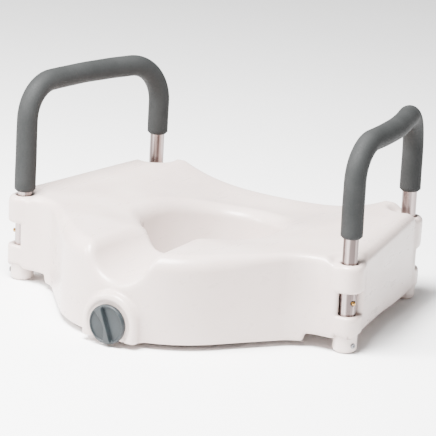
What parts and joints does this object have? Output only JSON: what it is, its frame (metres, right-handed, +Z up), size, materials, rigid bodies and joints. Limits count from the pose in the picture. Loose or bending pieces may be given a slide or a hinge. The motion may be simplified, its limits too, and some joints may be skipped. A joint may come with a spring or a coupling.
{
  "type": "raised toilet seat",
  "caption": "Raised toilet seat with a moulded hollow body, a front scoop, padded lift-off arms in corner sleeves and a knob that clamps it to the bowl.",
  "frame": {"origin": "centre of the bounding box in plan, at the height of the leg cups' bottoms", "axes": "+Z up, -Y towards the front where the knob is, +X to the sitter's side seen on the right from the front"},
  "size_m": [0.599, 0.516, 0.3151],
  "materials": {
    "body": "satin blow-moulded plastic",
    "cup": "satin moulded plastic",
    "tube": "drawn tube, lightly brushed",
    "foam": "closed-cell foam with a fine skin",
    "knob": "moulded plastic, fine texture",
    "brass": "polished",
    "steel": "zinc plated",
    "pad": "soft rubber",
    "nylon": "natural nylon"
  },
  "bodies": {
    "seat": {"seat_body": "body", "socket_sleeve_front_right": "tube", "socket_sleeve_rear_right": "tube", "socket_sleeve_front_left": "tube", "socket_sleeve_rear_left": "tube", "leg_cup_front_right": "cup", "leg_cup_rear_right": "cup", "leg_cup_front_left": "cup", "leg_cup_rear_left": "cup", "cup_screw_front_right": "steel", "cup_screw_rear_right": "steel", "cup_screw_front_left": "steel", "cup_screw_rear_left": "steel", "spindle_bush": "nylon", "spindle_bracket": "nylon", "bracket_screw_left": "steel", "bracket_screw_right": "steel", "rim_pad_front_right": "pad", "rim_pad_rear_right": "pad", "rim_pad_front_left": "pad", "rim_pad_rear_left": "pad"},
    "right_arm": {"arm_tube_right": "tube", "foam_grip_right": "foam", "snap_spring_front_right": "steel", "snap_spring_rear_right": "steel"},
    "front_right_button": {"snap_button_front_right": "brass"},
    "rear_right_button": {"snap_button_rear_right": "brass"},
    "left_arm": {"arm_tube_left": "tube", "foam_grip_left": "foam", "snap_spring_front_left": "steel", "snap_spring_rear_left": "steel"},
    "front_left_button": {"snap_button_front_left": "brass"},
    "rear_left_button": {"snap_button_rear_left": "brass"},
    "lock": {"lock_knob": "knob", "knob_pin": "steel", "lock_spindle": "steel", "thrust_washer": "steel", "retaining_ring": "steel"},
    "jaw": {"clamp_jaw": "nylon", "jaw_nut": "steel", "jaw_pad": "pad"}
  },
  "joints": [
    {"name": "right_arm_lift", "type": "slide", "parent": "seat", "child": "right_arm", "axis": [0, 0, 1], "range_m": [0, 0.12], "deforming": ["snap_button_front_right", "snap_button_rear_right", "snap_spring_front_right", "snap_spring_rear_right"]},
    {"name": "front_right_button_press", "type": "slide", "parent": "right_arm", "child": "front_right_button", "axis": [-0.9272, 0.3746, 0], "range_m": [0, 0.0052], "stiffness_N_per_m": 800, "springref_m": -0.001, "deforming": ["snap_spring_front_right"]},
    {"name": "rear_right_button_press", "type": "slide", "parent": "right_arm", "child": "rear_right_button", "axis": [0.2588, -0.9659, 0], "range_m": [0, 0.0052], "stiffness_N_per_m": 800, "springref_m": -0.001, "deforming": ["snap_spring_rear_right"]},
    {"name": "left_arm_lift", "type": "slide", "parent": "seat", "child": "left_arm", "axis": [0, 0, 1], "range_m": [0, 0.12], "deforming": ["snap_button_front_left", "snap_button_rear_left", "snap_spring_front_left", "snap_spring_rear_left"]},
    {"name": "front_left_button_press", "type": "slide", "parent": "left_arm", "child": "front_left_button", "axis": [0.9272, 0.3746, 0], "range_m": [0, 0.0052], "stiffness_N_per_m": 800, "springref_m": -0.001, "deforming": ["snap_spring_front_left"]},
    {"name": "rear_left_button_press", "type": "slide", "parent": "left_arm", "child": "rear_left_button", "axis": [-0.2588, -0.9659, 0], "range_m": [0, 0.0052], "stiffness_N_per_m": 800, "springref_m": -0.001, "deforming": ["snap_spring_rear_left"]},
    {"name": "knob_turn", "type": "hinge", "parent": "seat", "child": "lock", "pos_m": [0, -0.25, 0.032], "axis": [0, -1, 0], "range_deg": [0, 2700]},
    {"name": "jaw_slide", "type": "slide", "parent": "seat", "child": "jaw", "axis": [0, 1, 0], "range_m": [0, 0.0301]}
  ],
  "couplings": [
    {"joint": "jaw_slide", "follows": "knob_turn", "m_per_rad": 0.00063662}
  ]
}
